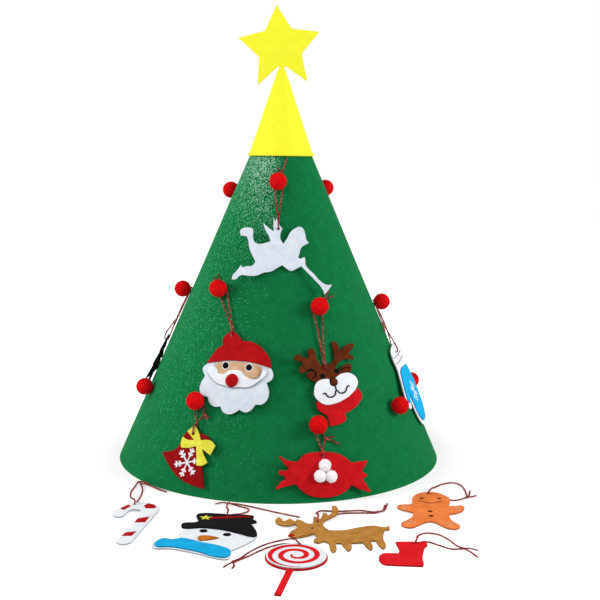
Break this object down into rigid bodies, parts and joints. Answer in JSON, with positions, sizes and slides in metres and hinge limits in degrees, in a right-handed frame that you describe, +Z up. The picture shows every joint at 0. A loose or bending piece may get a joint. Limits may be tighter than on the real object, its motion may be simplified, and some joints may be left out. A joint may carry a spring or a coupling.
{
  "type": "felt christmas tree",
  "caption": "Standing felt cone tree with a lift-off star cap, wool pompoms that carry hung felt ornaments on thread loops, and the loose ornaments of the set beside it.",
  "frame": {"origin": "centre of the bounding box's base, on the floor; the tree's axis is 0.1464 m behind it", "axes": "+Z up, +Y from the loose ornaments towards the tree's back seam, +X to the right of someone facing the tree"},
  "size_m": [0.53, 0.7928, 0.691],
  "materials": {
    "green_felt": "stiff needle felt",
    "yellow_felt": "stiff needle felt",
    "red_felt": "stiff needle felt",
    "white_felt": "stiff needle felt",
    "brown_felt": "stiff needle felt",
    "tan_felt": "stiff needle felt",
    "orange_felt": "stiff needle felt",
    "peach_felt": "stiff needle felt",
    "black_felt": "stiff needle felt",
    "blue_felt": "stiff needle felt",
    "dark_green_felt": "stiff needle felt",
    "tape_nylon": "woven hook and loop tape",
    "pompom_wool": "clipped wool pile",
    "red_thread": "two-ply twisted thread"
  },
  "bodies": {
    "tree": {"tree_cone": "green_felt", "seam_hook_tape": "tape_nylon", "seam_loop_tape": "tape_nylon", "pompom_top_1": "pompom_wool", "pompom_top_2": "pompom_wool", "pompom_top_3": "pompom_wool", "pompom_mid_1": "pompom_wool", "pompom_mid_2": "pompom_wool", "pompom_mid_3": "pompom_wool", "pompom_mid_4": "pompom_wool", "pompom_mid_5": "pompom_wool", "pompom_mid_6": "pompom_wool", "pompom_low_1": "pompom_wool", "pompom_low_2": "pompom_wool", "pompom_low_3": "pompom_wool", "pompom_low_4": "pompom_wool", "pompom_low_5": "pompom_wool", "pompom_low_6": "pompom_wool", "pompom_low_7": "pompom_wool", "pompom_low_8": "pompom_wool"},
    "cap": {"star_cap": "yellow_felt", "star": "yellow_felt"},
    "hung_angel": {"angel": "white_felt", "angel_thread": "red_thread"},
    "hung_santa": {"santa_beard": "white_felt", "santa_face": "peach_felt", "santa_hat": "red_felt", "santa_nose": "red_felt", "santa_thread": "red_thread"},
    "hung_deer": {"deer_head": "brown_felt", "deer_muzzle": "white_felt", "deer_scarf": "red_felt", "deer_thread": "red_thread"},
    "hung_bell": {"bell": "red_felt", "bell_bow": "yellow_felt", "bell_thread": "red_thread"},
    "hung_sweet": {"sweet": "red_felt", "sweet_berries": "white_felt", "sweet_thread": "red_thread"},
    "hung_fir": {"fir": "dark_green_felt", "fir_thread": "red_thread"},
    "hung_mitten": {"mitten_back": "white_felt", "mitten_front": "blue_felt", "mitten_thread": "red_thread"},
    "loose_cane": {"candy_cane": "white_felt", "candy_cane_thread": "red_thread"},
    "loose_snowman": {"snowman_head": "white_felt", "snowman_hat": "black_felt", "snowman_scarf": "blue_felt", "snowman_thread": "red_thread"},
    "loose_lollipop": {"lollipop": "red_felt", "lollipop_face": "white_felt", "lollipop_thread": "red_thread"},
    "loose_reindeer": {"reindeer": "tan_felt", "reindeer_thread": "red_thread"},
    "loose_gingerbread": {"gingerbread_man": "orange_felt", "gingerbread_thread": "red_thread"},
    "loose_stocking": {"stocking": "red_felt", "stocking_thread": "red_thread"}
  },
  "joints": [
    {"name": "cap_lift", "type": "slide", "parent": "tree", "child": "cap", "axis": [0, 0, 1], "range_m": [0, 0.16]},
    {"name": "angel_swing", "type": "hinge", "parent": "tree", "child": "hung_angel", "pos_m": [-0.00217, 0.08058, 0.42457], "axis": [0.032, -0.9168, 0.3981], "range_deg": [-10, 10]},
    {"name": "santa_swing", "type": "hinge", "parent": "tree", "child": "hung_santa", "pos_m": [-0.08181, 0.0362, 0.27288], "axis": [-0.3137, -0.862, 0.3981], "range_deg": [0, 8]},
    {"name": "deer_swing", "type": "hinge", "parent": "tree", "child": "hung_deer", "pos_m": [0.05509, 0.01601, 0.25002], "axis": [0.3877, -0.8314, 0.3981], "range_deg": [-2, 8]},
    {"name": "bell_swing", "type": "hinge", "parent": "tree", "child": "hung_bell", "pos_m": [-0.10852, -0.02007, 0.11876], "axis": [-0.4587, -0.7944, 0.3981], "range_deg": [-8, 8]},
    {"name": "sweet_swing", "type": "hinge", "parent": "tree", "child": "hung_sweet", "pos_m": [0.05537, -0.0546, 0.09562], "axis": [0.2528, -0.8818, 0.3981], "range_deg": [-8, 8]},
    {"name": "fir_swing", "type": "hinge", "parent": "tree", "child": "hung_fir", "pos_m": [-0.14002, 0.13805, 0.2563], "axis": [-0.9138, 0.08, 0.3981], "range_deg": [-5, 3]},
    {"name": "mitten_swing", "type": "hinge", "parent": "tree", "child": "hung_mitten", "pos_m": [0.14936, 0.14326, 0.23906], "axis": [0.8938, -0.2064, 0.3981], "range_deg": [-5, 5]},
    {"name": "cane_lift", "type": "slide", "parent": "tree", "child": "loose_cane", "axis": [0, 0, 1], "range_m": [0, 0.08]},
    {"name": "snowman_lift", "type": "slide", "parent": "tree", "child": "loose_snowman", "axis": [0, 0, 1], "range_m": [0, 0.08]},
    {"name": "lollipop_lift", "type": "slide", "parent": "tree", "child": "loose_lollipop", "axis": [0, 0, 1], "range_m": [0, 0.08]},
    {"name": "reindeer_lift", "type": "slide", "parent": "tree", "child": "loose_reindeer", "axis": [0, 0, 1], "range_m": [0, 0.08]},
    {"name": "gingerbread_lift", "type": "slide", "parent": "tree", "child": "loose_gingerbread", "axis": [0, 0, 1], "range_m": [0, 0.08]},
    {"name": "stocking_lift", "type": "slide", "parent": "tree", "child": "loose_stocking", "axis": [0, 0, 1], "range_m": [0, 0.08]}
  ]
}
